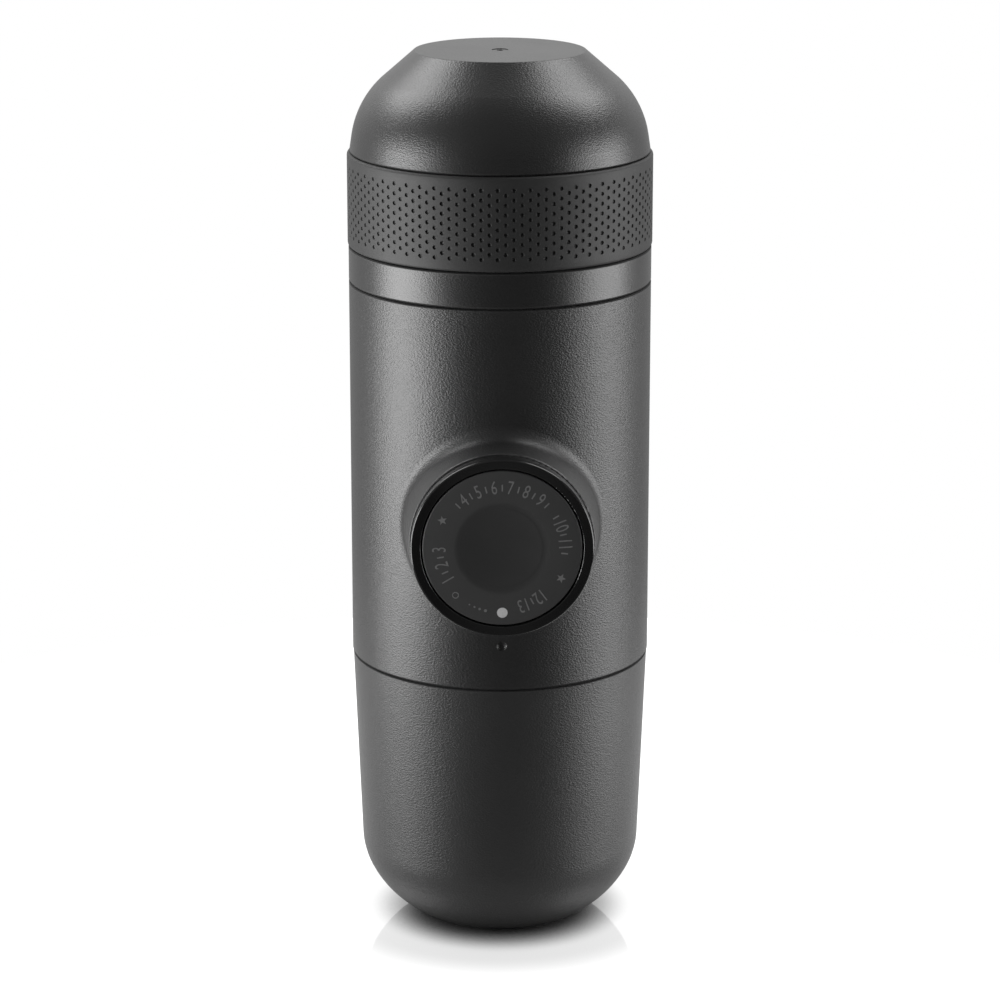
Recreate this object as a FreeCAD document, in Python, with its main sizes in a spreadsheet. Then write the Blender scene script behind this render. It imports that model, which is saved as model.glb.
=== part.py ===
import FreeCAD, Part
import math
import os

import Sketcher

# Handheld manual espresso maker, standing on its water tank.
# Millimetres. The origin is the middle of the tank's base, +Z is up, and the piston knob faces -Y.
# Upright pieces are revolved about Z. Pieces of the pump are revolved about their own Z, which is then
# laid along -Y at the knob's height, with its zero at the back of the pump.

SIZES = {
    # heights of the visible stack, from the floor up
    "tank_height": 55.3,
    "casing_height": 75.0,
    "collar_height": 7.0,
    "grip_height": 18.2,
    "cup_height": 19.5,
    # clearances and edges shared by many pieces
    "seam": 0.1,
    "slip": 0.2,
    "press": 0.05,
    "thread_room": 0.8,
    "edge_round": 0.3,
    # casing
    "casing_radius": 29.46,
    "casing_wall": 2.0,
    "clamp_lip": 1.9,
    "knob_rise": 31.63,
    "boss_rise": 7.64,
    "boss_margin": 0.3,
    "boss_draft": 5.2,
    "boss_blend": 3.0,
    "mark_drop": 22.54,
    "mark_radius": 1.1,
    "mark_depth": 0.45,
    # water tank
    "tank_wall": 2.2,
    "tank_inset": 0.13,
    "tank_taper": 1.63,
    "base_inset": 13.6,
    "base_curve": 20.8,
    "shoulder_height": 14.05,
    "shoulder_round": 14.0,
    "mouth_depth": 9.5,
    "ledge_width": 1.8,
    "ledge_thick": 2.4,
    "seal_thick": 1.6,
    # plug
    "plug_step": 2.03,
    "plug_plate": 3.0,
    "plug_wall": 2.4,
    "plug_flange": 3.2,
    # pump, measured forwards from its back
    "pump_gap": 5.46,
    "pump_wall": 3.0,
    "pump_front": 20.0,
    "housing_wall": 3.0,
    "barrel_bore": 9.0,
    "barrel_wall": 2.0,
    "barrel_gap": 2.5,
    "column_wall": 0.6,
    "column_back": 5.5,
    "foot_thick": 3.2,
    "port_radius": 1.5,
    "valve_bore": 3.2,
    "valve_depth": 13.0,
    "seat_thick": 2.0,
    "seat_hole": 1.3,
    "ball_radius": 2.0,
    "valve_wire": 0.22,
    "valve_turns": 3.5,
    "valve_cap_thick": 1.6,
    "strainer_thick": 0.6,
    "gasket_thick": 1.0,
    "gasket_width": 1.8,
    "screw_radius": 1.25,
    "screw_head_rise": 1.15,
    "screw_head": 1.6,
    # knob and piston
    "knob_radius": 15.05,
    "knob_skirt_wall": 1.5,
    "knob_wall": 2.5,
    "sleeve_gap": 3.0,
    "stroke": 22.0,
    "lug_length": 3.0,
    "lug_rise": 1.1,
    "lug_angle": 36.0,
    "dial_inset": 0.3,
    "dial_thick": 2.1,
    "dial_round": 0.25,
    "dish_radius": 8.6,
    "dish_depth": 0.9,
    "dish_round": 1.6,
    "bezel_gap": 0.3,
    "bezel_width": 1.95,
    "bezel_sleeve": 1.0,
    "bezel_rise": 3.3,
    "bezel_round": 0.45,
    "bezel_lip": 0.2,
    "bezel_dish": 0.25,
    "rod_radius": 4.0,
    "rod_fit": 0.1,
    "rod_collar": 2.0,
    "rod_collar_thick": 1.8,
    "piston_length": 7.0,
    "piston_clearance": 0.12,
    "piston_gap": 4.5,
    "ring_thick": 1.6,
    "ring_squeeze": 0.05,
    "spring_wire": 0.6,
    "spring_turns": 5.5,
    # brew chamber and basket
    "chamber_step": 1.43,
    "chamber_relief": 0.4,
    "chamber_floor": 3.5,
    "chamber_wall": 2.4,
    "chamber_rise": 9.5,
    "water_space": 5.1,
    "basket_gap": 0.7,
    "basket_wall": 0.6,
    "basket_rim": 0.8,
    "basket_shelf": 1.5,
    "gasket_rim": 0.8,
    # outlet head
    "skirt_wall": 1.4,
    "grip_thick": 1.6,
    "grip_round": 0.6,
    "head_deck": 2.8,
    "press_depth": 3.6,
    "press_clearance": 0.3,
    "screen_inset": 1.0,
    "screen_thick": 0.5,
    "screen_clip": 1.0,
    "screen_hole": 0.8,
    "spigot_step": 1.5,
    "spigot_wall": 2.0,
    "spigot_rise": 3.7,
    "cup_ring_thick": 0.7,
    "nozzle_base": 5.5,
    "nozzle_tip": 3.0,
    "nozzle_rise": 13.4,
    "nozzle_bore": 1.6,
    "nozzle_shank": 4.0,
    "nozzle_flange": 1.5,
    # cup and scoop
    "cup_wall": 1.7,
    "cup_inset": 0.48,
    "cup_draft": 0.47,
    "cup_dome": 12.15,
    "cup_shoulder_rise": 3.2,
    "cup_curve": 18.25,
    "cup_cone_run": 6.53,
    "cup_cone_drop": 5.67,
    "gate_mark": 0.6,
    "gate_rim": 1.6,
    "gate_depth": 0.12,
    "scoop_gap": 4.5,
    "scoop_wall": 1.4,
    "scoop_height": 15.4,
}

LEFT = 1
RIGHT = -1
Vector = FreeCAD.Vector
document = FreeCAD.newDocument("EspressoMaker")


# ---- sizes that carry both their number and the cell they come from ----

class Size:
    """A length with its number and the spreadsheet expression that gives it."""

    def __init__(self, number, words):
        self.number = number
        self.words = words

    def __add__(self, other):
        return joined(self, other, "+")

    def __radd__(self, other):
        return joined(other, self, "+")

    def __sub__(self, other):
        return joined(self, other, "-")

    def __rsub__(self, other):
        return joined(other, self, "-")

    def __mul__(self, other):
        return joined(self, other, "*")

    def __truediv__(self, other):
        return joined(self, other, "/")


def as_size(value):
    return value if isinstance(value, Size) else Size(float(value), repr(value))


def joined(first, second, sign):
    one = as_size(first)
    two = as_size(second)
    numbers = {
        "+": one.number + two.number,
        "-": one.number - two.number,
        "*": one.number * two.number,
        "/": one.number / two.number if two.number else 0.0,
    }
    return Size(numbers[sign], f"({one.words} {sign} {two.words})")


def side_of(slant, side):
    """The other short side of a right-angled triangle."""
    return Size(math.sqrt(slant.number ** 2 - side.number ** 2),
                f"sqrt({slant.words}^2 - {side.words}^2)")


def write_sizes():
    sheet = document.addObject("Spreadsheet::Sheet", "Sizes")
    for row, (name, number) in enumerate(SIZES.items(), start=1):
        sheet.set(f"A{row}", name)
        sheet.set(f"B{row}", str(number))
        sheet.setAlias(f"B{row}", name)
    document.recompute()
    return {name: Size(float(sheet.get(name)), f"Sizes.{name}") for name in SIZES}


S = write_sizes()


# ---- drawing and feature helpers ----

def new_body(label):
    body = document.addObject("PartDesign::Body", label)
    body.Label = label
    return body


def origin_item(body, role):
    """One of the body's own origin planes or axes."""
    return [item for item in body.Origin.OriginFeatures if item.Role == role][0]


def attach(thing, body, role):
    thing.AttachmentSupport = (origin_item(body, role), [""])
    thing.MapMode = "FlatFace"


def new_sketch(body, role, lift=None):
    """An empty sketch on one of the body's own origin planes, lifted off it by a size."""
    sketch = body.newObject("Sketcher::SketchObject", "Sketch")
    attach(sketch, body, role)
    if lift is not None:
        sketch.setExpression("AttachmentOffset.Base.z", lift.words)
    return sketch


def hold(sketch, kind, geometry, end, value):
    """Fix one coordinate of a point to a size, on either side of the origin."""
    value = as_size(value)
    if value.words == "0":
        axis = -2 if kind == "DistanceX" else -1
        sketch.addConstraint(Sketcher.Constraint("PointOnObject", geometry, end, axis))
        return
    if value.number < 0:
        value = 0 - value
        row = sketch.addConstraint(
            Sketcher.Constraint(kind, geometry, end, -1, 1, value.number))
    else:
        row = sketch.addConstraint(
            Sketcher.Constraint(kind, -1, 1, geometry, end, value.number))
    sketch.setExpression(f"Constraints[{row}]", value.words)


def arc_between(start, end, radius, side):
    """The short arc from start to end, its centre to the left or right of the way."""
    chord = end.sub(start)
    middle = start.add(end).multiply(0.5)
    reach = math.sqrt(max(radius ** 2 - chord.Length ** 2 / 4, 0.0))
    across = Vector(-chord.y, chord.x, 0).normalize()
    centre = middle.add(across.multiply(reach * side))
    first, last = (start, end) if side == LEFT else (end, start)
    angles = [math.atan2(point.y - centre.y, point.x - centre.x) for point in (first, last)]
    circle = Part.Circle(centre, Vector(0, 0, 1), radius)
    return Part.ArcOfCircle(circle, angles[0], angles[1])


def draw_outline(sketch, path):
    """A closed outline. A point is (x, y), or (x, y, radius, side) if an arc leads to it."""
    spots = [Vector(as_size(point[0]).number, as_size(point[1]).number, 0) for point in path]
    forward = []
    for index, point in enumerate(path):
        before = spots[index - 1]
        here = spots[index]
        if len(point) == 2:
            sketch.addGeometry(Part.LineSegment(before, here))
            forward.append(True)
        else:
            sketch.addGeometry(arc_between(before, here, point[2].number, point[3]))
            forward.append(point[3] == LEFT)
    for index, point in enumerate(path):
        end = 2 if forward[index] else 1
        after = (index + 1) % len(path)
        start = 1 if forward[after] else 2
        sketch.addConstraint(Sketcher.Constraint("Coincident", index, end, after, start))
        hold(sketch, "DistanceX", index, end, point[0])
        hold(sketch, "DistanceY", index, end, point[1])
        if len(point) == 4:
            row = sketch.addConstraint(Sketcher.Constraint("Radius", index, point[2].number))
            sketch.setExpression(f"Constraints[{row}]", point[2].words)


def draw_circle(sketch, x, y, radius):
    centre = Vector(as_size(x).number, as_size(y).number, 0)
    index = sketch.addGeometry(Part.Circle(centre, Vector(0, 0, 1), radius.number))
    hold(sketch, "DistanceX", index, 3, x)
    hold(sketch, "DistanceY", index, 3, y)
    row = sketch.addConstraint(Sketcher.Constraint("Radius", index, radius.number))
    sketch.setExpression(f"Constraints[{row}]", radius.words)


def revolve(body, path, kind="Revolution"):
    """Turn an outline of (radius, height) points once round the body's Z."""
    sketch = new_sketch(body, "XZ_Plane")
    draw_outline(sketch, path)
    feature = body.newObject(f"PartDesign::{kind}", kind)
    feature.Profile = sketch
    feature.ReferenceAxis = (sketch, ["V_Axis"])
    feature.Angle = 360
    document.recompute()
    return feature


def extrude(body, sketch, length, kind="Pad", backwards=False):
    feature = body.newObject(f"PartDesign::{kind}", kind)
    feature.Profile = sketch
    feature.setExpression("Length", length.words)
    feature.Reversed = backwards
    document.recompute()
    return feature


def drill(body, role, lift, x, y, radius, length, backwards=False):
    """A round hole, checked to have taken material away."""
    before = body.Shape.Volume
    sketch = new_sketch(body, role, lift)
    draw_circle(sketch, x, y, radius)
    extrude(body, sketch, length, "Pocket", backwards)
    if not body.Shape.Volume < before - 0.01:
        raise RuntimeError(f"a hole in {body.Label} cuts nothing")


def revolved(label, path):
    body = new_body(label)
    revolve(body, path)
    return body


def ring(label, inner, outer, bottom, top):
    return revolved(label, [(inner, bottom), (outer, bottom), (outer, top), (inner, top)])


def round_edges(body, radius, wanted):
    """Fillet every edge that the test picks."""
    carrier = body.Tip
    names = [f"Edge{n}" for n, edge in enumerate(carrier.Shape.Edges, 1) if wanted(edge)]
    fillet = body.newObject("PartDesign::Fillet", "Fillet")
    fillet.Base = (carrier, names)
    fillet.setExpression("Radius", radius.words)
    document.recompute()
    return fillet


def lay_on_pump_axis(thing):
    """Lay a piece made about Z along -Y, its zero at the back of the pump."""
    thing.Placement = FreeCAD.Placement(Vector(0, 0, 0), FreeCAD.Rotation(Vector(1, 0, 0), 90))
    thing.setExpression("Placement.Base.y", PUMP_BACK.words)
    thing.setExpression("Placement.Base.z", KNOB_HEIGHT.words)


# ---- heights that several pieces share ----

TANK_TOP = S["tank_height"]
CASING_TOP = TANK_TOP + S["casing_height"]
COLLAR_TOP = CASING_TOP + S["collar_height"]
GRIP_TOP = COLLAR_TOP + S["grip_height"]
TOP = GRIP_TOP + S["cup_height"]

CASING_INNER = S["casing_radius"] - S["casing_wall"]
TANK_TOP_RADIUS = S["casing_radius"] - S["tank_inset"]
TANK_SHOULDER = TANK_TOP_RADIUS - S["tank_taper"]
TANK_BASE = TANK_SHOULDER - S["base_inset"]
PLUG_RADIUS = CASING_INNER - S["plug_step"]
PLUG_INNER = PLUG_RADIUS - S["plug_wall"]
MOUTH = PLUG_RADIUS + S["thread_room"] + S["slip"]
LEDGE_INNER = PLUG_RADIUS - S["ledge_width"]
LEDGE_TOP = TANK_TOP - S["mouth_depth"]
SEAL_TOP = LEDGE_TOP + S["seal_thick"]
PLUG_BOTTOM = SEAL_TOP + S["seam"]
PLUG_FLOOR = TANK_TOP + S["seam"]
PLUG_TOP = PLUG_FLOOR + S["plug_flange"]

CHAMBER_RADIUS = CASING_INNER - S["chamber_step"]
CHAMBER_THREAD = CHAMBER_RADIUS - S["chamber_relief"]
CHAMBER_TOP = COLLAR_TOP + S["chamber_rise"]
CHAMBER_FLOOR = CASING_TOP - S["clamp_lip"]
CHAMBER_BOTTOM = CHAMBER_FLOOR - S["chamber_floor"]
BASKET_RADIUS = CHAMBER_RADIUS - S["chamber_wall"] - S["basket_gap"]
BASKET_RIM_RADIUS = CHAMBER_RADIUS - S["basket_shelf"]
BASKET_BOTTOM = CHAMBER_FLOOR + S["water_space"]
BASKET_TOP = CHAMBER_TOP + S["basket_rim"]

HEAD_THREAD = CHAMBER_THREAD + S["thread_room"] + S["slip"]
HEAD_SKIRT = HEAD_THREAD + S["skirt_wall"]
GRIP_RADIUS = HEAD_SKIRT + S["grip_thick"]
SPIGOT_RADIUS = HEAD_SKIRT - S["spigot_step"]
SPIGOT_INNER = SPIGOT_RADIUS - S["spigot_wall"]
DECK = BASKET_TOP + S["gasket_rim"]
DECK_TOP = DECK + S["head_deck"]
PRESS_RADIUS = BASKET_RADIUS - S["basket_wall"] - S["press_clearance"]

KNOB_HEIGHT = TANK_TOP + S["knob_rise"]
BOSS_REACH = S["casing_radius"] + S["boss_rise"]
BEZEL_INNER = S["knob_radius"] + S["bezel_gap"]
BEZEL_SLEEVE = BEZEL_INNER + S["bezel_sleeve"]
BEZEL_OUTER = BEZEL_INNER + S["bezel_width"]
BOSS_RADIUS = BEZEL_OUTER + S["boss_margin"]

PUMP_BACK = CASING_INNER - S["pump_gap"]
BOSS_FRONT = PUMP_BACK + BOSS_REACH
BEZEL_FACE = BOSS_FRONT + S["bezel_rise"]
DIAL_FACE = BEZEL_FACE - S["dial_inset"]
SLEEVE_FRONT = DIAL_FACE - S["dial_thick"]
SLEEVE_REAR = S["pump_front"] + S["sleeve_gap"]
SKIRT_INNER = S["knob_radius"] - S["knob_skirt_wall"]
KNOB_INSIDE = SLEEVE_FRONT - S["knob_wall"]
BARREL_OUTER = S["barrel_bore"] + S["barrel_wall"]
HOUSING_RADIUS = BARREL_OUTER + S["housing_wall"]
GASKET_OUTER = S["valve_bore"] + S["gasket_width"]
COLUMN_Y = PUMP_BACK - S["column_back"]
COLUMN_RADIUS = GASKET_OUTER + S["column_wall"]
SCREW_HEAD = S["screw_radius"] + S["screw_head_rise"]
SCREW_SPREAD = side_of(PLUG_INNER - SCREW_HEAD - S["slip"], COLUMN_Y)
PISTON_FACE = S["pump_wall"] + S["piston_gap"]


# ---- water tank and its seal ----

def water_tank():
    """Round-bottomed tank, tapered outside, with a ledge inside its mouth for the seal."""
    wall = S["tank_wall"]
    rim = TANK_TOP
    ledge_bottom = LEDGE_TOP - S["ledge_thick"]
    body = revolved("water_tank", [
        (0, 0),
        (TANK_BASE, 0),
        (TANK_SHOULDER, S["shoulder_height"], S["base_curve"], LEFT),
        (TANK_TOP_RADIUS, rim),
        (MOUTH, rim),
        (MOUTH, LEDGE_TOP),
        (LEDGE_INNER, LEDGE_TOP),
        (LEDGE_INNER, ledge_bottom),
        (MOUTH, ledge_bottom - S["ledge_thick"]),
        (TANK_SHOULDER - wall, S["shoulder_height"]),
        (TANK_BASE - wall / 2, wall, S["base_curve"] - wall, RIGHT),
        (0, wall),
    ])
    shoulder = S["shoulder_height"]
    round_edges(body, S["shoulder_round"], lambda edge: on_circle(edge, TANK_SHOULDER, shoulder))
    round_edges(body, S["edge_round"], lambda edge: on_circle(edge, TANK_TOP_RADIUS, rim))
    return body


def on_circle(edge, radius, height):
    """Whether an edge is the circle of a radius at a height."""
    box = edge.BoundBox
    flat = abs(box.ZMax - height.number) < 0.001 and box.ZLength < 0.001
    return flat and abs(box.XMax - radius.number) < 0.001


def tank_seal():
    return ring("tank_seal", LEDGE_INNER + S["slip"], MOUTH - S["slip"], LEDGE_TOP, SEAL_TOP)


# ---- casing ----

def body_shell():
    """Tube with a clamping lip at the top and a drafted boss that blends into it."""
    body = new_body("body_shell")
    revolve(body, [
        (0, PLUG_FLOOR),
        (S["casing_radius"], PLUG_FLOOR),
        (S["casing_radius"], CASING_TOP),
        (0, CASING_TOP),
    ])
    sketch = new_sketch(body, "XZ_Plane")
    draft = S["boss_draft"]
    slope = Size(math.tan(math.radians(draft.number)), f"tan({draft.words})")
    draw_circle(sketch, 0, KNOB_HEIGHT, BOSS_RADIUS + BOSS_REACH * slope)
    boss = extrude(body, sketch, BOSS_REACH)
    boss.setExpression("TaperAngle", "-Sizes.boss_draft")
    document.recompute()
    round_edges(body, S["boss_blend"], where_boss_meets_tube)
    round_edges(body, S["edge_round"], outer_rims)
    revolve(body, [
        (0, PLUG_FLOOR - 1),
        (CASING_INNER, PLUG_FLOOR - 1),
        (CASING_INNER, CHAMBER_FLOOR),
        (CHAMBER_RADIUS + S["slip"], CHAMBER_FLOOR),
        (CHAMBER_RADIUS + S["slip"], CASING_TOP + 1),
        (0, CASING_TOP + 1),
    ], "Groove")
    drill(body, "XZ_Plane", None, 0, KNOB_HEIGHT, BEZEL_SLEEVE + S["seam"],
          BOSS_REACH + 1, backwards=True)
    index_dimple(body)
    return body


def index_dimple(body):
    """Small round hollow under the boss, which the knob's marks are set to."""
    deep = S["mark_depth"]
    wide = S["mark_radius"]
    sketch = new_sketch(body, "YZ_Plane")
    sketch.setExpression("AttachmentOffset.Base.y", (KNOB_HEIGHT - S["mark_drop"]).words)
    skin = S["casing_radius"]
    draw_outline(sketch, [
        (0 - skin - deep, 0),
        (deep - skin, 0),
        (deep * 0.6 - skin, wide * 0.7, wide, LEFT),
        (0 - skin - deep, wide * 1.3),
    ])
    groove = body.newObject("PartDesign::Groove", "IndexDimple")
    groove.Profile = sketch
    groove.ReferenceAxis = (sketch, ["H_Axis"])
    groove.Angle = 360
    document.recompute()


def where_boss_meets_tube(edge):
    """The saddle where the drafted boss runs into the round tube."""
    box = edge.BoundBox
    front = S["casing_radius"].number
    return box.YMin < -1 and box.YMax < -1 and box.YMin > -front - 0.5 and box.YLength > 1


def outer_rims(edge):
    """The tube's two outer end circles and the boss's front edge."""
    box = edge.BoundBox
    flat = box.ZLength < 0.001 and box.XMax > CASING_INNER.number
    front = abs(box.YMin + BOSS_REACH.number) < 0.001 and box.YLength < 0.001
    return flat or front


def bezel_ring():
    """Ring in front of the boss, its face dished, with a sleeve that guides the knob and stops its lugs."""
    stop = SLEEVE_REAR + S["lug_length"] + S["stroke"] + S["seam"]
    edge = S["bezel_round"]
    lip = S["bezel_lip"]
    mouth = BEZEL_FACE - S["bezel_dish"]
    body = revolved("bezel_ring", [
        (BEZEL_INNER, stop),
        (BEZEL_SLEEVE, stop),
        (BEZEL_SLEEVE, BOSS_FRONT),
        (BEZEL_OUTER, BOSS_FRONT),
        (BEZEL_OUTER, BEZEL_FACE - edge),
        (BEZEL_OUTER - edge, BEZEL_FACE, edge, LEFT),
        (BEZEL_INNER + lip, mouth),
        (BEZEL_INNER, mouth - lip, lip, LEFT),
    ])
    lay_on_pump_axis(body)
    return body


def base_plug():
    """Hollow threaded plug with a floor that carries the pump, and a flange inside the casing."""
    plate = PLUG_TOP - S["plug_plate"]
    body = revolved("base_plug", [
        (0, plate),
        (PLUG_INNER, plate),
        (PLUG_INNER, PLUG_BOTTOM),
        (PLUG_RADIUS, PLUG_BOTTOM),
        (PLUG_RADIUS, PLUG_FLOOR),
        (CASING_INNER - S["seam"], PLUG_FLOOR),
        (CASING_INNER - S["seam"], PLUG_TOP),
        (0, PLUG_TOP),
    ])
    drill(body, "XY_Plane", PLUG_TOP, 0, COLUMN_Y, S["port_radius"], S["plug_plate"])
    for side in (-1, 1):
        drill(body, "XY_Plane", PLUG_TOP, SCREW_SPREAD * side, COLUMN_Y,
              S["screw_radius"] + S["seam"], S["plug_plate"])
    return body


def inlet_strainer():
    top = PLUG_TOP - S["plug_plate"]
    body = ring("inlet_strainer", S["port_radius"] / 3, COLUMN_RADIUS, top - S["strainer_thick"], top)
    body.setExpression("Placement.Base.y", COLUMN_Y.words)
    return body


# ---- pump ----

def ear(body, height, x, thick):
    """A round lug of the housing, standing on a height."""
    sketch = new_sketch(body, "XY_Plane", height)
    draw_circle(sketch, x, COLUMN_Y, S["screw_radius"] * 3)
    extrude(body, sketch, thick)


def bridge(body, height, thick):
    """The bar that joins a pair of lugs to the column."""
    sketch = new_sketch(body, "XY_Plane", height)
    half = S["screw_radius"] * 2
    reach = SCREW_SPREAD
    draw_outline(sketch, [
        (0 - reach, COLUMN_Y - half),
        (reach, COLUMN_Y - half),
        (reach, COLUMN_Y + half),
        (0 - reach, COLUMN_Y + half),
    ])
    extrude(body, sketch, thick)


def pump_housing():
    """Upright column with a cross bore for the pump barrel and a valve bore at each end."""
    body = new_body("pump_housing")
    rise = CHAMBER_BOTTOM - PLUG_TOP
    column = new_sketch(body, "XY_Plane", PLUG_TOP)
    draw_circle(column, 0, COLUMN_Y, COLUMN_RADIUS)
    extrude(body, column, rise)
    block = new_sketch(body, "XZ_Plane", 0 - PUMP_BACK)
    draw_circle(block, 0, KNOB_HEIGHT, HOUSING_RADIUS)
    extrude(body, block, S["pump_front"])
    for height in (PLUG_TOP, CHAMBER_BOTTOM - S["foot_thick"]):
        bridge(body, height, S["foot_thick"])
        for side in (-1, 1):
            ear(body, height, SCREW_SPREAD * side, S["foot_thick"])
    drill(body, "XZ_Plane", S["pump_front"] - PUMP_BACK, 0, KNOB_HEIGHT,
          BARREL_OUTER + S["press"], S["pump_front"] - S["pump_wall"])
    recess = GASKET_OUTER + S["press"]
    for height, backwards in ((PLUG_TOP, True), (CHAMBER_BOTTOM, False)):
        drill(body, "XY_Plane", height, 0, COLUMN_Y, recess, S["gasket_thick"], backwards)
        drill(body, "XY_Plane", height, 0, COLUMN_Y, S["valve_bore"], S["valve_depth"], backwards)
        for side in (-1, 1):
            drill(body, "XY_Plane", height, SCREW_SPREAD * side, COLUMN_Y,
                  S["screw_radius"] + S["seam"], S["foot_thick"], backwards)
    drill(body, "XY_Plane", PLUG_TOP, 0, COLUMN_Y, S["port_radius"],
          KNOB_HEIGHT - PLUG_TOP, backwards=True)
    drill(body, "XY_Plane", CHAMBER_BOTTOM, 0, COLUMN_Y, S["port_radius"],
          CHAMBER_BOTTOM - KNOB_HEIGHT)
    return body


def gasket(label, bottom):
    body = ring(label, S["valve_bore"] + S["slip"], GASKET_OUTER, bottom, bottom + S["gasket_thick"])
    body.setExpression("Placement.Base.y", COLUMN_Y.words)
    return body


def pump_cylinder():
    """Metal barrel with a port above and a port below, close to its closed end."""
    front = KNOB_INSIDE - S["barrel_gap"]
    body = ring("pump_cylinder", S["barrel_bore"], BARREL_OUTER, S["pump_wall"], front)
    for backwards in (False, True):
        drill(body, "XZ_Plane", None, 0, S["column_back"], S["port_radius"], BARREL_OUTER + 1, backwards)
    lay_on_pump_axis(body)
    return body


INLET_SEAT = PLUG_TOP + S["seam"]
OUTLET_SEAT = CHAMBER_BOTTOM - S["valve_depth"] + S["seam"]


def valve_seat(label, bottom):
    """Ring with a bevelled hole that the ball closes."""
    outer = S["valve_bore"] - S["press"]
    top = bottom + S["seat_thick"]
    bevel = S["seat_hole"] / 4
    body = revolved(label, [
        (S["seat_hole"], bottom),
        (outer, bottom),
        (outer, top),
        (S["seat_hole"] + bevel, top),
        (S["seat_hole"], top - bevel),
    ])
    body.setExpression("Placement.Base.y", COLUMN_Y.words)
    return body


def ball_height(seat_bottom):
    """Height of the ball's middle when it rests on its seat."""
    reach = side_of(S["ball_radius"], S["seat_hole"] * 1.25)
    return seat_bottom + S["seat_thick"] + reach + S["press"]


def valve_ball(label, seat_bottom):
    ball = document.addObject("Part::Sphere", label)
    ball.Label = label
    ball.setExpression("Radius", S["ball_radius"].words)
    ball.setExpression("Placement.Base.y", COLUMN_Y.words)
    ball.setExpression("Placement.Base.z", ball_height(seat_bottom).words)
    return ball


def coil(label, radius, wire, tall, turns):
    """A round wire bent into flat half turns, each tilted, so that they meet without a kink."""
    rise = tall.number / turns.number / 2
    reach = math.hypot(radius.number, rise / 2)
    arcs = []
    for step in range(round(turns.number * 2)):
        side = 1 if step % 2 == 0 else -1
        start = Vector(radius.number * side, 0, rise * step)
        crest = Vector(0, reach * side, rise * (step + 0.5))
        end = Vector(-radius.number * side, 0, rise * (step + 1))
        arcs.append(Part.Arc(start, crest, end).toShape())
    section = Part.Wire([Part.makeCircle(wire.number, Vector(radius.number, 0, 0), Vector(0, 1, 0))])
    spring = document.addObject("Part::Feature", label)
    spring.Label = label
    spring.Shape = Part.Wire(arcs).makePipeShell([section], True, False)
    return spring


def valve_spring(label, seat_bottom, roof):
    """Light coil between the ball and the end of its bore."""
    wire = S["valve_wire"]
    radius = S["ball_radius"] * 0.75
    bottom = ball_height(seat_bottom) + S["ball_radius"] * 0.66 + wire * 1.5
    top = roof - wire - S["press"]
    spring = coil(label, radius, wire, top - bottom, S["valve_turns"])
    spring.setExpression("Placement.Base.y", COLUMN_Y.words)
    spring.setExpression("Placement.Base.z", bottom.words)
    return spring


def outlet_valve_cap():
    body = ring("outlet_valve_cap", S["seat_hole"], S["valve_bore"] - S["press"],
                CHAMBER_BOTTOM - S["valve_cap_thick"], CHAMBER_BOTTOM)
    body.setExpression("Placement.Base.y", COLUMN_Y.words)
    return body


def screw_pair(label, head_bottom, tip):
    """Two equal pan-head screws, upright, heads down."""
    screws = []
    for side in (-1, 1):
        screw = revolved(f"{label}_{side + 2}", [
            (0, head_bottom),
            (SCREW_HEAD, head_bottom),
            (SCREW_HEAD, head_bottom + S["screw_head"]),
            (S["screw_radius"], head_bottom + S["screw_head"]),
            (S["screw_radius"], tip),
            (0, tip),
        ])
        screw.setExpression("Placement.Base.x", (SCREW_SPREAD * side).words)
        screw.setExpression("Placement.Base.y", COLUMN_Y.words)
        screws.append(screw)
    pair = document.addObject("Part::Compound", label)
    pair.Label = label
    pair.Links = screws
    return pair


# ---- piston and knob ----

def groove_start(index):
    """Front-to-back place of a ring groove in the piston head."""
    return PISTON_FACE + S["ring_thick"] * (0.75 + 1.75 * index)


def piston_rod():
    """Rod with a grooved head at the back and a shoulder behind the knob's wall."""
    head = S["barrel_bore"] - S["piston_clearance"]
    groove = S["barrel_bore"] - S["ring_thick"] - S["seam"]
    width = S["ring_thick"] + S["seam"]
    rear = PISTON_FACE
    points = [(0, rear), (head, rear)]
    for index in range(2):
        start = groove_start(index)
        points += [(head, start), (groove, start), (groove, start + width), (head, start + width)]
    shoulder = KNOB_INSIDE - S["seam"]
    points += [
        (head, rear + S["piston_length"]),
        (S["rod_radius"], rear + S["piston_length"]),
        (S["rod_radius"], shoulder - S["rod_collar_thick"]),
        (S["rod_radius"] + S["rod_collar"], shoulder - S["rod_collar_thick"]),
        (S["rod_radius"] + S["rod_collar"], shoulder),
        (S["rod_radius"], shoulder),
        (S["rod_radius"], ROD_END),
        (SCREW_HOLE, ROD_END),
        (SCREW_HOLE, ROD_END - SCREW_DEPTH - 1),
        (0, ROD_END - SCREW_DEPTH - 1),
    ]
    body = revolved("piston_rod", points)
    lay_on_pump_axis(body)
    return body


SCREW_RECESS = S["knob_wall"] * 0.56
ROD_END = SLEEVE_FRONT - SCREW_RECESS + S["seam"]
SCREW_HOLE = S["screw_radius"] + S["seam"]
SCREW_DEPTH = S["piston_length"] - 1


def piston_seals():
    rings = []
    for index in range(2):
        torus = document.addObject("Part::Torus", f"piston_seal_{index + 1}")
        torus.setExpression("Radius2", (S["ring_thick"] / 2).words)
        torus.setExpression(
            "Radius1", (S["barrel_bore"] - S["ring_squeeze"] - S["ring_thick"] / 2).words)
        torus.setExpression(
            "Placement.Base.z", (groove_start(index) + (S["ring_thick"] + S["seam"]) / 2).words)
        rings.append(torus)
    pair = document.addObject("Part::Compound", "piston_seals")
    pair.Label = "piston_seals"
    pair.Links = rings
    lay_on_pump_axis(pair)
    return pair


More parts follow.
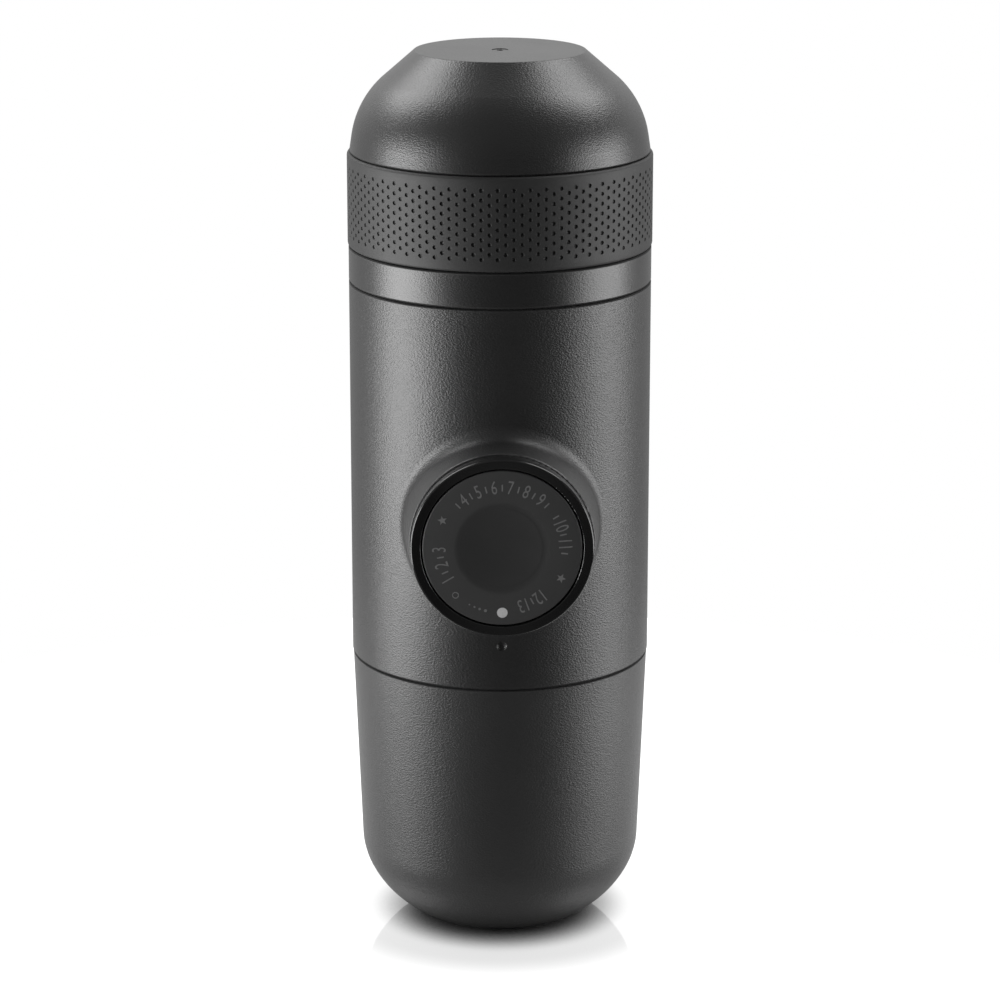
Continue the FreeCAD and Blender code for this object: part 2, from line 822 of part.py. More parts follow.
def return_spring():
    """Coil round the barrel, between the pump housing and the knob's front wall."""
    wire = S["spring_wire"]
    bottom = S["pump_front"] + wire + S["seam"]
    top = KNOB_INSIDE - wire - S["seam"]
    radius = (BARREL_OUTER + SKIRT_INNER) / 2 - S["press"]
    spring = coil("return_spring", radius, wire, top - bottom, S["spring_turns"])
    spring.Placement = FreeCAD.Placement(Vector(0, 0, 0), FreeCAD.Rotation(Vector(1, 0, 0), 90))
    spring.setExpression("Placement.Base.y", (PUMP_BACK - bottom).words)
    spring.setExpression("Placement.Base.z", KNOB_HEIGHT.words)
    return spring


def knob_sleeve():
    """Skirt of the knob, with a front wall that turns on the rod and two lock lugs at its rear."""
    bore = S["rod_radius"] + S["rod_fit"]
    recess = S["rod_radius"] + 1.2
    body = revolved("knob_sleeve", [
        (SKIRT_INNER, SLEEVE_REAR),
        (S["knob_radius"], SLEEVE_REAR),
        (S["knob_radius"], SLEEVE_FRONT),
        (recess, SLEEVE_FRONT),
        (recess, SLEEVE_FRONT - SCREW_RECESS),
        (bore, SLEEVE_FRONT - SCREW_RECESS),
        (bore, KNOB_INSIDE),
        (SKIRT_INNER, KNOB_INSIDE),
    ])
    half = math.radians(SIZES["lug_angle"] / 2)
    outer = S["knob_radius"] + S["lug_rise"]
    inner = (SKIRT_INNER + S["knob_radius"]) / 2
    sketch = new_sketch(body, "XY_Plane", SLEEVE_REAR)
    draw_outline(sketch, [
        (inner * math.cos(half), inner * (0 - math.sin(half))),
        (outer * math.cos(half), outer * (0 - math.sin(half))),
        (outer * math.cos(half), outer * math.sin(half), outer, LEFT),
        (inner * math.cos(half), inner * math.sin(half)),
    ])
    lug = extrude(body, sketch, S["lug_length"])
    pair = body.newObject("PartDesign::PolarPattern", "Lugs")
    pair.Originals = [lug]
    pair.Axis = (origin_item(body, "Z_Axis"), [""])
    pair.Angle = 360
    pair.Occurrences = 2
    body.Tip = pair
    lay_on_pump_axis(body)
    return body


def dial_plate():
    """Round front of the knob, with a soft dish in its middle."""
    dish = S["dish_radius"]
    deep = S["dish_depth"]
    bowl = (dish * dish + deep * deep) / (deep * 2)
    edge = S["dial_round"]
    body = revolved("dial_plate", [
        (0, SLEEVE_FRONT),
        (S["knob_radius"], SLEEVE_FRONT),
        (S["knob_radius"], DIAL_FACE - edge),
        (S["knob_radius"] - edge, DIAL_FACE, edge, LEFT),
        (dish, DIAL_FACE),
        (0, DIAL_FACE - deep, bowl, RIGHT),
    ])
    round_edges(body, S["dish_round"], lambda edge: on_circle(edge, dish, DIAL_FACE))
    lay_on_pump_axis(body)
    return body


def knob_screw():
    body = revolved("knob_screw", [
        (0, ROD_END - SCREW_DEPTH),
        (S["screw_radius"], ROD_END - SCREW_DEPTH),
        (S["screw_radius"], ROD_END),
        (S["rod_radius"] + 0.8, ROD_END),
        (S["rod_radius"] + 0.8, SLEEVE_FRONT - S["seam"] * 2),
        (0, SLEEVE_FRONT - S["seam"] * 2),
    ])
    lay_on_pump_axis(body)
    return body


# ---- brew chamber, collar and basket ----

BASKET_SEAT = CHAMBER_TOP - S["basket_rim"]


def brew_chamber():
    """Shallow cup clamped under the casing's lip, with a step at its mouth for the basket's rim."""
    inner = CHAMBER_RADIUS - S["chamber_wall"]
    step = BASKET_RIM_RADIUS + S["slip"]
    body = revolved("brew_chamber", [
        (0, CHAMBER_BOTTOM),
        (CASING_INNER - S["seam"], CHAMBER_BOTTOM),
        (CASING_INNER - S["seam"], CHAMBER_FLOOR),
        (CHAMBER_RADIUS, CHAMBER_FLOOR),
        (CHAMBER_RADIUS, COLLAR_TOP),
        (CHAMBER_THREAD, COLLAR_TOP),
        (CHAMBER_THREAD, CHAMBER_TOP),
        (step, CHAMBER_TOP),
        (step, BASKET_SEAT),
        (inner, BASKET_SEAT),
        (inner, CHAMBER_FLOOR),
        (0, CHAMBER_FLOOR),
    ])
    drill(body, "XY_Plane", CHAMBER_BOTTOM, 0, COLUMN_Y, S["port_radius"], S["chamber_floor"], True)
    for side in (-1, 1):
        drill(body, "XY_Plane", CHAMBER_BOTTOM, SCREW_SPREAD * side, COLUMN_Y,
              S["screw_radius"] + S["seam"], SCREW_REACH + S["seam"], True)
    return body


SCREW_REACH = S["chamber_floor"] * 0.8


def edged_ring(label, inner, outer, bottom, top, edge):
    """A ring whose two outer edges are rounded."""
    return revolved(label, [
        (inner, bottom),
        (outer - edge, bottom),
        (outer, bottom + edge, edge, LEFT),
        (outer, top - edge),
        (outer - edge, top, edge, LEFT),
        (inner, top),
    ])


def upper_collar():
    return edged_ring("upper_collar", CHAMBER_RADIUS + S["slip"], S["casing_radius"],
                      CASING_TOP + S["seam"], COLLAR_TOP, S["edge_round"])


def filter_basket():
    wall = S["basket_wall"]
    inner = BASKET_RADIUS - wall
    return revolved("filter_basket", [
        (0, BASKET_BOTTOM),
        (BASKET_RADIUS, BASKET_BOTTOM),
        (BASKET_RADIUS, BASKET_SEAT),
        (BASKET_RIM_RADIUS, BASKET_SEAT),
        (BASKET_RIM_RADIUS, CHAMBER_TOP),
        (inner, CHAMBER_TOP),
        (inner, BASKET_BOTTOM + wall),
        (0, BASKET_BOTTOM + wall),
    ])


def head_seal():
    return ring("head_seal", BASKET_RIM_RADIUS + S["slip"] * 2, CHAMBER_RADIUS,
                CHAMBER_TOP, DECK)


# ---- outlet head ----

CLIP_BOTTOM = DECK - S["press_depth"]
SCREEN_LOW = CLIP_BOTTOM + S["screen_clip"]
SCREEN_TOP = SCREEN_LOW + S["screen_thick"]
SCREEN_RADIUS = PRESS_RADIUS - S["screen_inset"]
RING_GROOVE = GRIP_TOP + S["spigot_rise"] / 2


def outlet_head():
    """Threaded skirt, deck with a collecting cone and press boss below it, and the cup's spigot."""
    skirt = HEAD_SKIRT
    thread = HEAD_THREAD
    spigot = SPIGOT_RADIUS
    groove = spigot - S["cup_ring_thick"] / 2 - S["seam"]
    half = (S["cup_ring_thick"] + S["seam"]) / 2
    shank = S["nozzle_shank"]
    return revolved("outlet_head", [
        (shank, DECK),
        (SCREEN_RADIUS - 1, SCREEN_TOP),
        (SCREEN_RADIUS, SCREEN_TOP),
        (SCREEN_RADIUS, CLIP_BOTTOM),
        (PRESS_RADIUS, CLIP_BOTTOM),
        (PRESS_RADIUS, DECK),
        (thread, DECK),
        (thread, COLLAR_TOP + S["seam"]),
        (skirt, COLLAR_TOP + S["seam"]),
        (skirt, GRIP_TOP),
        (spigot, GRIP_TOP),
        (spigot, RING_GROOVE - half),
        (groove, RING_GROOVE - half),
        (groove, RING_GROOVE + half),
        (spigot, RING_GROOVE + half),
        (spigot, GRIP_TOP + S["spigot_rise"]),
        (SPIGOT_INNER, GRIP_TOP + S["spigot_rise"]),
        (SPIGOT_INNER, DECK_TOP),
        (shank, DECK_TOP),
    ])


def grip_ring():
    return edged_ring("grip_ring", HEAD_SKIRT + S["press"], GRIP_RADIUS,
                      COLLAR_TOP + S["seam"], GRIP_TOP, S["grip_round"])


def filter_screen():
    """Thin disc with rings of small holes."""
    body = revolved("filter_screen", [
        (0, SCREEN_LOW),
        (SCREEN_RADIUS - S["seam"], SCREEN_LOW),
        (SCREEN_RADIUS - S["seam"], SCREEN_TOP),
        (0, SCREEN_TOP),
    ])
    for lap in range(1, 4):
        hole = new_sketch(body, "XY_Plane", SCREEN_TOP)
        draw_circle(hole, SCREEN_RADIUS * (lap * 0.26), 0, S["screen_hole"])
        pocket = extrude(body, hole, S["screen_thick"], "Pocket")
        pattern = body.newObject("PartDesign::PolarPattern", "Holes")
        pattern.Originals = [pocket]
        pattern.Axis = (origin_item(body, "Z_Axis"), [""])
        pattern.Angle = 360
        pattern.Occurrences = 6 * lap
        body.Tip = pattern
        document.recompute()
    return body


def screen_clip():
    return ring("screen_clip", SCREEN_RADIUS - 1.4, SCREEN_RADIUS - S["press"],
                CLIP_BOTTOM, SCREEN_LOW)


def outlet_nozzle():
    """Tapered spout on a flange, its shank through the deck."""
    bore = S["nozzle_bore"]
    shank = S["nozzle_shank"] - S["press"]
    return revolved("outlet_nozzle", [
        (bore, DECK),
        (shank, DECK),
        (shank, DECK_TOP),
        (S["nozzle_base"] + S["nozzle_flange"], DECK_TOP),
        (S["nozzle_base"] + S["nozzle_flange"], DECK_TOP + 1),
        (S["nozzle_base"], DECK_TOP + 1),
        (S["nozzle_tip"], DECK_TOP + S["nozzle_rise"]),
        (bore, DECK_TOP + S["nozzle_rise"]),
    ])


def cup_seal():
    torus = document.addObject("Part::Torus", "cup_seal")
    torus.Label = "cup_seal"
    torus.setExpression("Radius2", (S["cup_ring_thick"] / 2).words)
    torus.setExpression("Radius1", SPIGOT_RADIUS.words)
    torus.setExpression("Placement.Base.z", RING_GROOVE.words)
    return torus


# ---- cup and scoop ----

def scoop():
    """Coffee scoop, upside down over the nozzle."""
    wall = S["scoop_wall"]
    bottom = DECK_TOP + S["seam"]
    top = bottom + S["scoop_height"]
    radius = SPIGOT_INNER - S["scoop_gap"]
    curve = wall * 2
    return revolved("scoop", [
        (radius - wall, bottom),
        (radius, bottom),
        (radius, top - curve),
        (radius - curve, top, curve, LEFT),
        (0, top),
        (0, top - wall),
        (radius - curve, top - wall),
        (radius - wall, top - curve, wall, RIGHT),
    ])


def cup():
    """Domed cup: flat top, cone, round shoulder and a drafted wall, of one wall thickness."""
    wall = S["cup_wall"]
    run = S["cup_cone_run"]
    drop = S["cup_cone_drop"]
    slope = Size(math.hypot(run.number, drop.number), f"hypot({run.words}; {drop.words})")
    inward = wall * drop / slope
    downward = wall * run / slope
    inner_crease = wall * (slope - run) / drop
    rim_radius = GRIP_RADIUS - S["cup_inset"]
    rim = GRIP_TOP + S["seam"]
    shoulder = rim_radius - S["cup_draft"]
    shoulder_height = GRIP_TOP + S["cup_shoulder_rise"]
    top = shoulder - S["cup_dome"]
    body = revolved("cup", [
        (rim_radius - wall, rim),
        (rim_radius, rim),
        (shoulder, shoulder_height),
        (top + run, TOP - drop, S["cup_curve"], LEFT),
        (top, TOP),
        (0, TOP),
        (0, TOP - wall),
        (top - inner_crease, TOP - wall),
        (top + run - inward, TOP - drop - downward),
        (shoulder - wall, shoulder_height, S["cup_curve"] - wall, RIGHT),
    ])
    drill(body, "XY_Plane", TOP, 0, 0, S["gate_rim"], S["gate_depth"])
    drill(body, "XY_Plane", TOP, 0, 0, S["gate_mark"], S["gate_depth"] * 3)
    round_edges(body, S["edge_round"], lambda edge: on_circle(edge, top, TOP))
    round_edges(body, S["edge_round"], lambda edge: on_circle(edge, rim_radius, rim))
    return body


# ---- the whole assembly ----

def build():
    inlet_top = PLUG_TOP + S["valve_depth"]
    outlet_top = CHAMBER_BOTTOM - S["valve_cap_thick"]
    plate_bottom = PLUG_TOP - S["plug_plate"]
    ear_bottom = CHAMBER_BOTTOM - S["foot_thick"]
    return [
        water_tank(),
        tank_seal(),
        body_shell(),
        bezel_ring(),
        base_plug(),
        inlet_strainer(),
        pump_housing(),
        pump_cylinder(),
        gasket("inlet_gasket", PLUG_TOP),
        gasket("outlet_gasket", CHAMBER_BOTTOM - S["gasket_thick"]),
        valve_seat("inlet_valve_seat", INLET_SEAT),
        valve_ball("inlet_valve_ball", INLET_SEAT),
        valve_spring("inlet_valve_spring", INLET_SEAT, inlet_top),
        valve_seat("outlet_valve_seat", OUTLET_SEAT),
        valve_ball("outlet_valve_ball", OUTLET_SEAT),
        valve_spring("outlet_valve_spring", OUTLET_SEAT, outlet_top),
        outlet_valve_cap(),
        screw_pair("housing_screws", plate_bottom - S["screw_head"], PLUG_TOP + S["foot_thick"] - 0.4),
        screw_pair("chamber_screws", ear_bottom - S["screw_head"], CHAMBER_BOTTOM + SCREW_REACH),
        piston_rod(),
        piston_seals(),
        return_spring(),
        knob_sleeve(),
        dial_plate(),
        knob_screw(),
        brew_chamber(),
        upper_collar(),
        filter_basket(),
        head_seal(),
        outlet_head(),
        grip_ring(),
        filter_screen(),
        screen_clip(),
        outlet_nozzle(),
        cup_seal(),
        scoop(),
        cup(),
    ]


def check(parts):
    """Stop if any object failed or any sub-part has no valid solid."""
    for item in document.Objects:
        if "Invalid" in item.State or "Error" in item.State:
            raise RuntimeError(f"{item.Label} failed: {item.State}")
    for part in parts:
        if part.Shape.isNull() or not part.Shape.isValid() or not part.Shape.Solids:
            raise RuntimeError(f"{part.Label} has no valid solid")


def main():
    parts = build()
    document.recompute()
    check(parts)
    os.makedirs("parts", exist_ok=True)
    for part in parts:
        part.Shape.exportStep(f"parts/{part.Label}.step")
    solids = sum(len(part.Shape.Solids) for part in parts)
    print(f"{len(parts)} sub-parts, {solids} solids, {TOP.number:.1f} mm tall")


main()
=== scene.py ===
# %% [markdown]
# # A hand-pumped espresso maker, dressed and lit
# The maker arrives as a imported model: every piece is already at its real size and in its place.
# This notebook gives each surface its finish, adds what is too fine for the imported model, such as
# the dimples of the rubber grip and the printed marks on the knob, and sets up a small photo studio.

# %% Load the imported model
import math

import bmesh
import bpy
from mathutils import Matrix, Vector


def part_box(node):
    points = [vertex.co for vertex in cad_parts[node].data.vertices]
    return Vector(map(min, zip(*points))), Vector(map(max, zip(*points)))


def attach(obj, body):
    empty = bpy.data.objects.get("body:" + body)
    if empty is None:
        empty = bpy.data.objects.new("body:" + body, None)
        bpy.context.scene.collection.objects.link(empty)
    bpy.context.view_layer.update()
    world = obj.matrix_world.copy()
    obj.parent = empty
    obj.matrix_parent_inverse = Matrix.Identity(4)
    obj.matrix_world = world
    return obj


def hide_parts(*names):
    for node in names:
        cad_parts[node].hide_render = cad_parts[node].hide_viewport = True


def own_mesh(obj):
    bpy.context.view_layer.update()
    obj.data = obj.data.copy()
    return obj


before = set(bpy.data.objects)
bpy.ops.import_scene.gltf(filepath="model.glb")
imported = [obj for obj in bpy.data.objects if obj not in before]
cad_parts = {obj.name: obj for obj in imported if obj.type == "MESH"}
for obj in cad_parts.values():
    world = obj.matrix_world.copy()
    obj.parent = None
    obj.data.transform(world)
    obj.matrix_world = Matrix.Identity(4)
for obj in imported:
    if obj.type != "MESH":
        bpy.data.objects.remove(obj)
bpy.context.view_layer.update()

MM = 0.001

# %% [markdown]
# ## The camera
# The maker is seen from a little above, through a long lens. A long lens standing far away keeps the
# upright sides nearly parallel. The maker is turned by half a degree, so the camera stands that much
# to one side of the front. It is first turned up from looking straight down to looking along +Y,
# less the angle that it looks down.

# %% Place the camera
CAMERA_AWAY = 0.694
CAMERA_UP = 0.276
ASIDE = math.radians(0.62)
LOOKS_DOWN = math.radians(15.36)
LENS = 130.57


def place_camera():
    data = bpy.data.cameras.new("camera")
    data.lens = LENS
    data.clip_start = 0.01
    camera = bpy.data.objects.new("camera", data)
    camera.location = (-math.sin(ASIDE) * CAMERA_AWAY, -math.cos(ASIDE) * CAMERA_AWAY, CAMERA_UP)
    camera.rotation_euler = (math.pi / 2 - LOOKS_DOWN, 0, -ASIDE)
    bpy.context.scene.collection.objects.link(camera)
    bpy.context.scene.camera = camera
    return camera


print("camera:", place_camera().location)

# %% [markdown]
# ## Writing shader maths as sums
# A shader is a graph of small nodes, and sums made by hand with nodes are hard to read. The class
# Signal below wraps one socket of the graph, so that `a * 2 + b` in Python adds the Math nodes for
# it. The class Graph adds every other kind of node through one method, and the class Finish is the
# graph of one material.

# %% The shader kit
class Signal:
    """One output of a shader graph, ready for sums."""

    def __init__(self, graph, socket):
        self.graph = graph
        self.socket = socket

    def math(self, operation, first, second=0.0):
        return self.graph.node(
            "ShaderNodeMath", {"operation": operation}, {0: first, 1: second})

    def __add__(self, other):
        return self.math("ADD", self, other)

    __radd__ = __add__

    def __mul__(self, other):
        return self.math("MULTIPLY", self, other)

    __rmul__ = __mul__

    def __sub__(self, other):
        return self.math("SUBTRACT", self, other)

    def __rsub__(self, other):
        return self.math("SUBTRACT", other, self)


class Graph:
    """A node tree that is filled by one method."""

    def __init__(self, tree):
        self.tree = tree
        self.tree.nodes.clear()

    def feed(self, socket, value):
        if isinstance(value, Signal):
            self.tree.links.new(value.socket, socket)
        else:
            socket.default_value = value

    def node(self, kind, settings=None, inputs=None, output=0):
        """Add a node: its settings first, then values or links for its sockets."""
        made = self.tree.nodes.new(kind)
        for name, value in (settings or {}).items():
            setattr(made, name, value)
        for name, value in (inputs or {}).items():
            self.feed(made.inputs[name], value)
        return Signal(self, made.outputs[output])

    def blend(self, amount, low, high):
        """A colour between two, by an amount from 0 to 1."""
        return self.node(
            "ShaderNodeMix", {"data_type": "RGBA"}, {0: amount, 6: low, 7: high}, 2)

    def ramp(self, value, start, end):
        """0 at start and 1 at end, and smooth between them."""
        return self.node("ShaderNodeMapRange", {"interpolation_type": "SMOOTHSTEP"}, {
            "Value": value, "From Min": start, "From Max": end})


class Finish(Graph):
    """One material with a Principled shader."""

    def __init__(self, name):
        self.material = bpy.data.materials.new(name)
        self.material.use_nodes = True
        super().__init__(self.material.node_tree)
        self.shader = self.tree.nodes.new("ShaderNodeBsdfPrincipled")
        self.end = self.tree.nodes.new("ShaderNodeOutputMaterial")
        self.tree.links.new(self.shader.outputs[0], self.end.inputs["Surface"])

    def set(self, **values):
        """Set sockets of the Principled shader, such as Roughness or Base_Color."""
        for name, value in values.items():
            self.feed(self.shader.inputs[name.replace("_", " ")], value)

    def place(self, stretch=(1, 1, 1)):
        """The object's own coordinates, stretched along its axes."""
        spot = self.node("ShaderNodeTexCoord", output="Object")
        return self.node("ShaderNodeMapping", inputs={"Vector": spot, "Scale": stretch})

    def noise(self, size, stretch=(1, 1, 1), detail=2.0, rough=0.5):
        """Soft random mottle whose lumps are about size metres across."""
        return self.node("ShaderNodeTexNoise", inputs={
            "Vector": self.place(stretch), "Scale": 1 / size, "Detail": detail, "Roughness": rough})

    def pebbles(self, size, stretch=(1, 1, 1)):
        """Rounded cells about size metres across, as in moulded grain."""
        return self.node("ShaderNodeTexVoronoi", {"feature": "SMOOTH_F1"}, {
            "Vector": self.place(stretch), "Scale": 1 / size, "Smoothness": 0.6})

    def height(self):
        """How high each point lies, in metres."""
        spot = self.node("ShaderNodeTexCoord", output="Object")
        return self.node("ShaderNodeSeparateXYZ", inputs={0: spot}, output=2)

    def bump(self, height, depth):
        """Raise the surface by height times depth metres."""
        lifted = self.node("ShaderNodeBump", inputs={"Height": height, "Distance": depth})
        self.feed(self.shader.inputs["Normal"], lifted)


def grey(level, warmth=0.0):
    return (level * (1 + warmth), level, level * (1 - warmth), 1.0)


print("shader kit ready")

# %% [markdown]
# ## Moulded plastic with a spark-eroded grain
# The casing, the collar, the tank and the cup are black plastic with a fine leather-like grain, which
# the mould is given by spark erosion. The grain only shows where a soft light fades across it. It is
# a bump of two things: small pebbles, which lie a little flattened, and a finer noise. Two pieces
# meet in a fine groove, and the shade in it is painted: close to the heights of its seams the
# plastic is painted near black as painted shade, and made dull.

# %% Grained plastics
SEAM_REACH = 0.46 * MM


def near_seams(finish, heights):
    """Painted shade in the seam grooves: 1 at the heights of the seams, and 0 from half a millimetre
    away.
    """
    up = finish.height()
    nearest = up.math("ABSOLUTE", up - heights[0])
    for height in heights[1:]:
        nearest = up.math("MINIMUM", nearest, up.math("ABSOLUTE", up - height))
    return finish.ramp(nearest, SEAM_REACH, SEAM_REACH * 0.45)


def grained_plastic(name, level, roughness, pebble, depth, seams):
    finish = Finish(name)
    flat = (1, 1, 1.7)
    pebbles = finish.pebbles(pebble, flat)
    fine = finish.noise(pebble * 0.5, flat, detail=3.0)
    cloud = finish.noise(0.012, detail=3.0)
    groove_shade = near_seams(finish, seams)
    colour = finish.blend(cloud, grey(level * 0.93), grey(level * 1.07))
    finish.set(
        # Close to the seams the colour goes near black: painted shade in the groove between two pieces.
        Base_Color=finish.blend(groove_shade, colour, grey(0.001)),
        Roughness=cloud * 0.05 + groove_shade * (0.98 - roughness) + (roughness - 0.025),
        IOR=1.55,
    )
    finish.bump(pebbles * 0.7 + fine * 0.5, depth)
    return finish.material


def seam(*names):
    """The height of the top or bottom of a node."""
    return [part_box(name)[end].z for name, end in names]


CASING = grained_plastic("casing_grain", 0.016, 0.40, 0.00042, 0.00007,
                         seam(("body_shell", 0), ("body_shell", 1)))
COLLAR = grained_plastic("collar_grain", 0.016, 0.35, 0.0004, 0.00004,
                         seam(("upper_collar", 0), ("upper_collar", 1)))
CUP = grained_plastic("cup_grain", 0.017, 0.33, 0.0004, 0.00005, seam(("cup", 0)))
TANK = grained_plastic("tank_grain", 0.022, 0.43, 0.00042, 0.00007, seam(("water_tank", 1)))
print("plastics:", CASING.name, COLLAR.name, CUP.name, TANK.name)

# %% [markdown]
# ## Rubber, gloss plastic, dial plastic and steel
# Rubber is matt and slightly uneven. The ring round the knob is polished, so almost all that shows
# of it is reflections. The knob's face is a smooth satin plastic. Steel is drawn or rolled, so its
# noise is stretched into streaks along one axis.

# %% The other finishes
def rubber(name, level, roughness):
    finish = Finish(name)
    cloud = finish.noise(0.006, detail=4.0)
    tooth = finish.noise(0.00022, detail=3.0)
    finish.set(
        Base_Color=finish.blend(cloud, grey(level * 0.9), grey(level * 1.1)),
        Roughness=cloud * 0.08 + (roughness - 0.04),
        IOR=1.45,
    )
    finish.bump(tooth, 0.00003)
    return finish.material


def smooth_plastic(name, level, roughness, wave):
    finish = Finish(name)
    cloud = finish.noise(0.004, detail=4.0)
    ripple = finish.noise(0.0015, detail=1.0)
    finish.set(
        Base_Color=finish.blend(cloud, grey(level * 0.92), grey(level * 1.08)),
        Roughness=cloud * 0.06 + (roughness - 0.03),
        IOR=1.49,
    )
    finish.bump(ripple, wave)
    return finish.material


def steel(name, streak):
    finish = Finish(name)
    lines = finish.noise(0.0004, streak, detail=3.0, rough=0.7)
    cloud = finish.noise(0.006, detail=2.0)
    finish.set(
        Base_Color=finish.blend(cloud, grey(0.56, 0.01), grey(0.64, 0.02)),
        Metallic=1.0,
        Roughness=lines * 0.22 + 0.18,
    )
    finish.bump(lines, 0.000006)
    return finish.material


SIEVE_RADIUS = 20.5 * MM
SIEVE_EDGE = 0.1 * MM


def perforated_steel(name, pitch, hole):
    """Steel with a grid of small round holes wherever it lies flat: sunk in by a bump, and painted near
    black inside as painted shade.
    """
    finish = Finish(name)
    spot = finish.node("ShaderNodeTexCoord", output="Object")
    flat = finish.node("ShaderNodeNewGeometry", output="Normal")
    facing = finish.node("ShaderNodeSeparateXYZ", inputs={0: flat}, output=2)
    lies_flat = finish.ramp(facing.math("ABSOLUTE", facing), 0.9, 0.98)
    offset = []
    for axis in (0, 1):
        across = finish.node("ShaderNodeSeparateXYZ", inputs={0: spot}, output=axis)
        cell = across.math("PINGPONG", across, pitch / 2)
        offset.append(cell * cell)
    away = offset[0].math("SQRT", offset[0] + offset[1])
    reach = finish.node("ShaderNodeVectorMath", {"operation": "LENGTH"}, {0: finish.node(
        "ShaderNodeVectorMath", {"operation": "MULTIPLY"}, {0: spot, 1: (1, 1, 0)})}, 1)
    inside = finish.ramp(reach, SIEVE_RADIUS + SIEVE_EDGE, SIEVE_RADIUS - SIEVE_EDGE)
    holes_with_painted_shade = finish.ramp(away, hole, hole * 0.8) * lies_flat * inside
    lines = finish.noise(0.0004, (1, 0.05, 1), detail=3.0, rough=0.7)
    finish.set(
        # Inside each hole the colour is near black: painted shade for the depth of the hole.
        Base_Color=finish.blend(holes_with_painted_shade, grey(0.60, 0.01), grey(0.01)),
        Metallic=1 - holes_with_painted_shade,
        Roughness=lines * 0.22 + 0.18 + holes_with_painted_shade * 0.5,
    )
    finish.bump(1 - holes_with_painted_shade, 0.0001)
    return finish.material


GRIP = rubber("grip_rubber", 0.020, 0.58)
SEAL = rubber("seal_silicone", 0.22, 0.5)
BEZEL = smooth_plastic("bezel_gloss", 0.010, 0.16, 0.000002)
INNER = smooth_plastic("inner_moulding", 0.030, 0.44, 0.000006)
SCOOP = smooth_plastic("scoop_moulding", 0.045, 0.40, 0.000006)
STEEL = steel("brushed_steel", (1, 1, 0.05))
WIRE = steel("spring_wire", (0.3, 0.3, 0.3))
SIEVE = perforated_steel("perforated_steel", 1.25 * MM, 0.3 * MM)
print("finishes:", len(bpy.data.materials))

# %% [markdown]
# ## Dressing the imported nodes
# A node that already has the right shape keeps its mesh and only gets a better material, by putting
# it in the node's material slots.

# %% Give every node its finish
DRESS = {
    CASING: ["body_shell"],
    COLLAR: ["upper_collar"],
    CUP: ["cup"],
    TANK: ["water_tank"],
    INNER: ["base_plug", "pump_housing", "outlet_head", "outlet_nozzle", "brew_chamber", "knob_sleeve",
            "piston_rod", "inlet_valve_seat", "outlet_valve_seat", "outlet_valve_cap"],
    SCOOP: ["scoop"],
    GRIP: ["grip_ring"],
    SEAL: ["tank_seal", "head_seal", "cup_seal", "piston_seals", "inlet_gasket", "outlet_gasket"],
    BEZEL: ["bezel_ring"],
    SIEVE: ["filter_basket", "filter_screen", "inlet_strainer"],
    STEEL: ["pump_cylinder", "screen_clip", "inlet_valve_ball", "outlet_valve_ball"],
    WIRE: ["return_spring", "inlet_valve_spring", "outlet_valve_spring", "housing_screws",
           "chamber_screws", "knob_screw"],
}


def dress():
    bare = set(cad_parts)
    for material, names in DRESS.items():
        for name in names:
            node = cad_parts[name]
            for spot in node.material_slots:
                spot.material = material
            bare.discard(name)
    return bare


print("nodes without a finish:", dress())

# %% [markdown]
# ## New pieces from a bmesh
# Every new piece is made the same way: a bmesh is shaped with operators, its doubles are merged, its
# normals are turned outwards, and it becomes an object that rides on a body of the maker. Edges
# sharper than a limit are marked sharp, and all faces are smooth, so that light runs evenly round.

# %% Turn a bmesh into a piece
def piece(name, mesh, material, body, sharp=35.0, weld=0.000002):
    bmesh.ops.remove_doubles(mesh, verts=mesh.verts[:], dist=weld)
    bmesh.ops.recalc_face_normals(mesh, faces=mesh.faces[:])
    limit = math.radians(sharp)
    for face in mesh.faces:
        face.smooth = True
    for edge in mesh.edges:
        edge.smooth = len(edge.link_faces) == 2 and edge.calc_face_angle(math.pi) < limit
    data = bpy.data.meshes.new(name)
    mesh.to_mesh(data)
    mesh.free()
    data.materials.append(material)
    made = bpy.data.objects.new(name, data)
    bpy.context.scene.collection.objects.link(made)
    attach(made, body)
    print(f"{name}: {len(data.polygons)} faces")
    return made


# %% [markdown]
# ## The dimpled grip
# The grip is a rubber ring with rows of small round dimples, set like bricks. A bump would look
# right from the front, but the outline and the shadows in the dimples need real shape. One pair of
# columns is made flat from discs bridged to their square cells, rolled onto the ring, and repeated
# round the axis by a spin. Each stage of a dimple is a circle's radius and its depth in millimetres.

# %% Sizes of the dimples
GRIP_LOW, GRIP_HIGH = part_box("grip_ring")
GRIP_RADIUS = GRIP_HIGH.x - 0.01 * MM
GRIP_INNER = GRIP_RADIUS - 1.55 * MM
GRIP_MIDDLE = (GRIP_LOW.z + GRIP_HIGH.z) / 2
GRIP_HALF = (GRIP_HIGH.z - GRIP_LOW.z) / 2
GRIP_ROUND = 0.6 * MM
COLUMN_PAIRS = 61
TALL_COLUMN = 8
DIMPLE_PITCH = 1.87 * MM
DIMPLE_STAGES = [(0.43, 0.0), (0.38, 0.05), (0.34, 0.22), (0.20, 0.30)]
COLUMN = math.pi * GRIP_RADIUS / COLUMN_PAIRS
print("column width mm:", round(COLUMN / MM, 3))

# %% Make one cell with a dimple
def disc_edge(mesh, x, z, radius, deep=0.0):
    """A circle of twelve points round (x, z), pushed inwards (+Y) by deep."""
    turn = Matrix.Rotation(math.pi / 2, 4, "X")
    spot = Matrix.Translation((x, deep, z)) @ turn
    return bmesh.ops.create_circle(mesh, segments=12, radius=radius, matrix=spot)["verts"]


def edges_of(verts):
    inside = set(verts)
    found = {edge for vert in verts for edge in vert.link_edges}
    return [edge for edge in found if set(edge.verts) <= inside]


